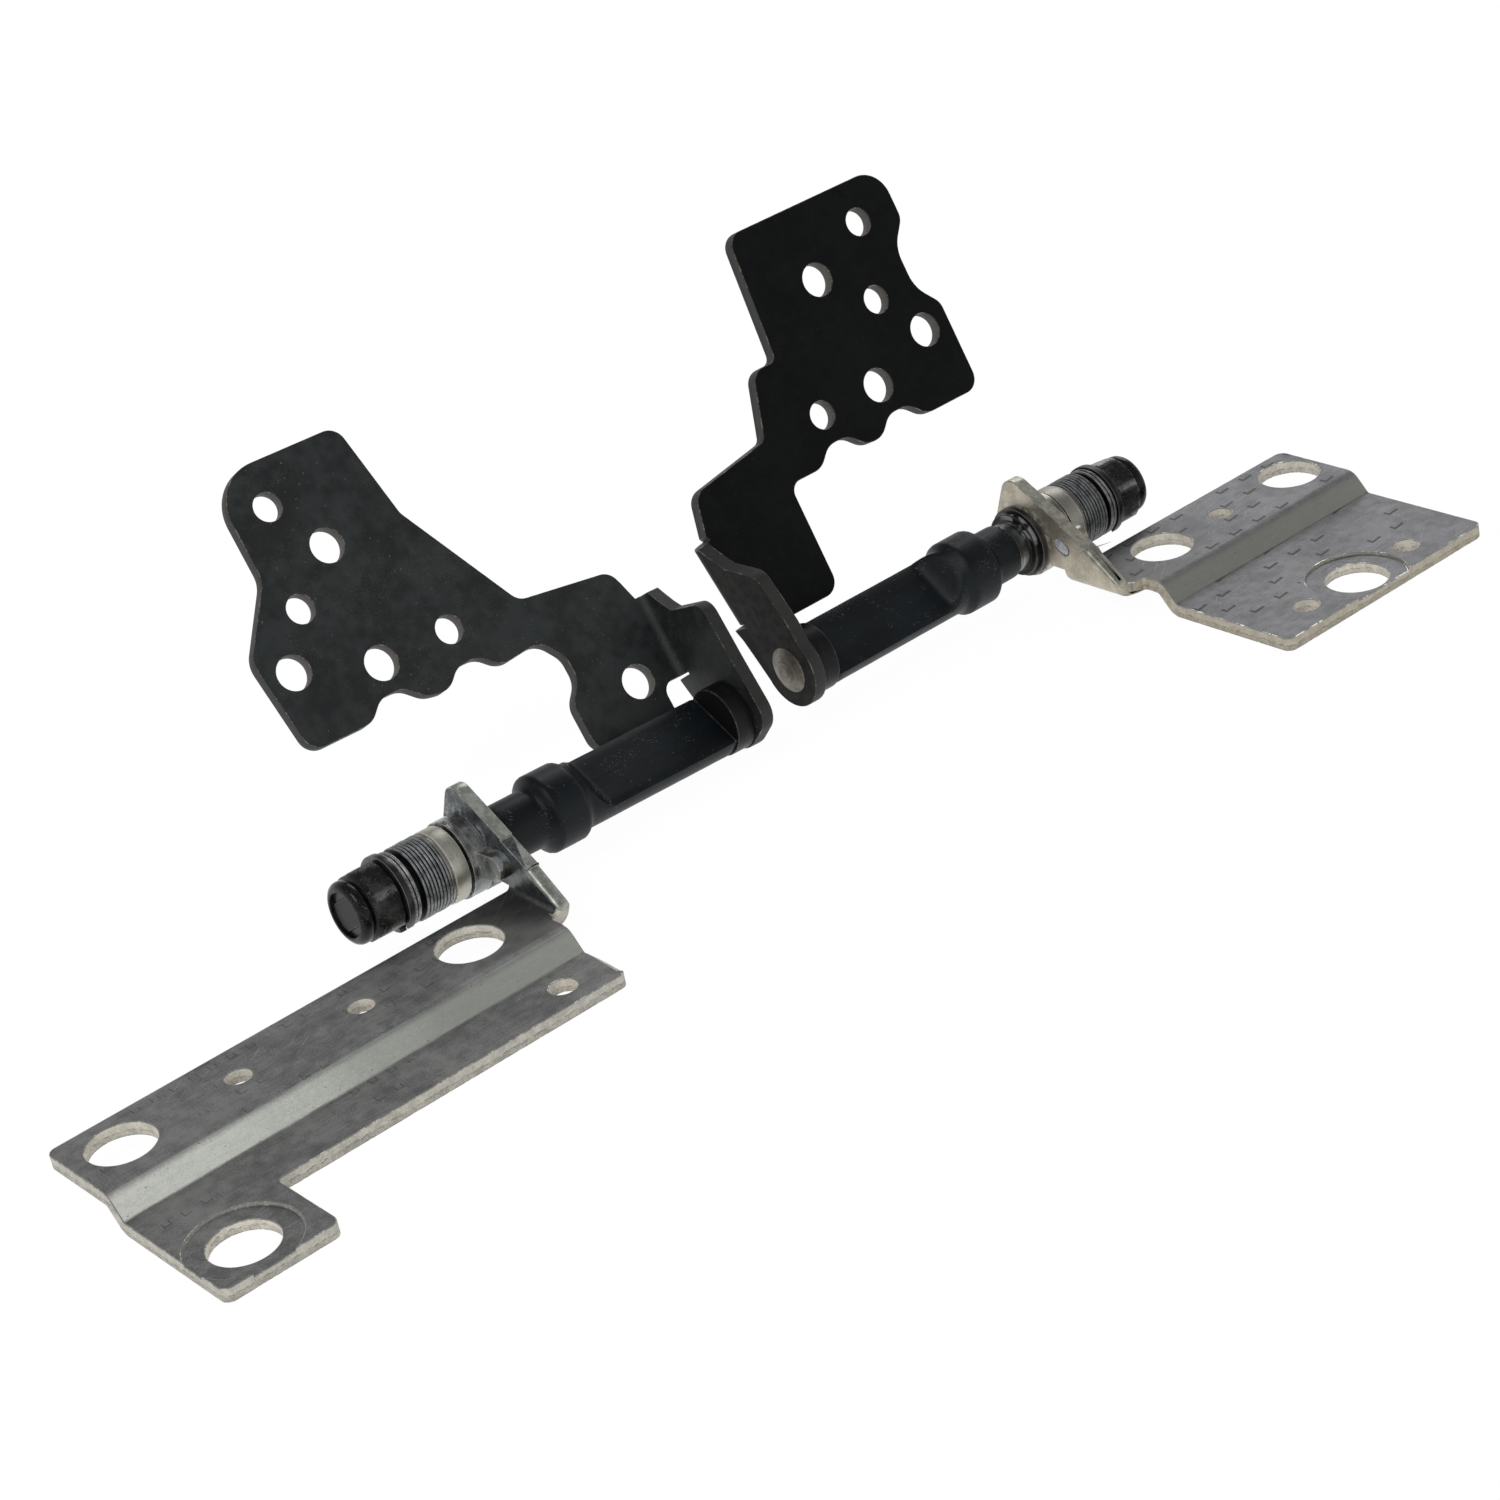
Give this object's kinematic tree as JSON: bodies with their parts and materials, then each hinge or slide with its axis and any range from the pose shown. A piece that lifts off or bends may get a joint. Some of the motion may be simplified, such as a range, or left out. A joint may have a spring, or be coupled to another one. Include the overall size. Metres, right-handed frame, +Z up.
{
  "type": "laptop hinge pair",
  "caption": "Laptop lid hinge pair: stepped steel base brackets with upright ears, sleeved shafts with cam and spring stacks, and black drilled display brackets held by friction.",
  "frame": {"origin": "middle of the pair's bounding box, on the plane that the lower strips of the base brackets lie on", "axes": "+X along the shafts towards the right hinge, +Y towards the back, +Z up from the base brackets"},
  "size_m": [0.1326, 0.0522, 0.0352],
  "materials": {
    "zinc_sheet": "satin zinc plating",
    "black_sheet": "black plating, satin",
    "shaft_steel": "turned and burnished",
    "sleeve_plastic": "satin shrink tube",
    "cam_steel": "pressed and greased",
    "washer_steel": "ground",
    "spring_steel": "dark spring steel",
    "black_steel": "black oxide"
  },
  "bodies": {
    "base_brackets": {"left_base_bracket": "zinc_sheet", "left_fixed_cam": "cam_steel", "right_base_bracket": "zinc_sheet", "right_fixed_cam": "cam_steel"},
    "left_lid_bracket": {"left_display_bracket": "black_sheet", "left_shaft": "shaft_steel", "left_shrink_sleeve": "sleeve_plastic", "left_inner_washer": "washer_steel", "left_moving_cam": "cam_steel", "left_cam_washer": "washer_steel", "left_disc_springs": "spring_steel", "left_spacer_ring": "black_steel", "left_thrust_washers": "washer_steel", "left_tab_washer": "washer_steel", "left_lock_nut": "black_steel"},
    "right_lid_bracket": {"right_display_bracket": "black_sheet", "right_shaft": "shaft_steel", "right_shrink_sleeve": "sleeve_plastic", "right_inner_washer": "washer_steel", "right_moving_cam": "cam_steel", "right_cam_washer": "washer_steel", "right_disc_springs": "spring_steel", "right_spacer_ring": "black_steel", "right_thrust_washers": "washer_steel", "right_tab_washer": "washer_steel", "right_lock_nut": "black_steel"}
  },
  "joints": [
    {"name": "left_hinge", "type": "hinge", "parent": "base_brackets", "child": "left_lid_bracket", "pos_m": [-0.02271, 0.00243, 0.00482], "axis": [-0.9996, 0, 0.0297], "range_deg": [-122.5, 17.5]},
    {"name": "right_hinge", "type": "hinge", "parent": "base_brackets", "child": "right_lid_bracket", "pos_m": [0.03905, 0.00243, 0.0051], "axis": [-1, 0, 0], "range_deg": [-115, 25]}
  ]
}
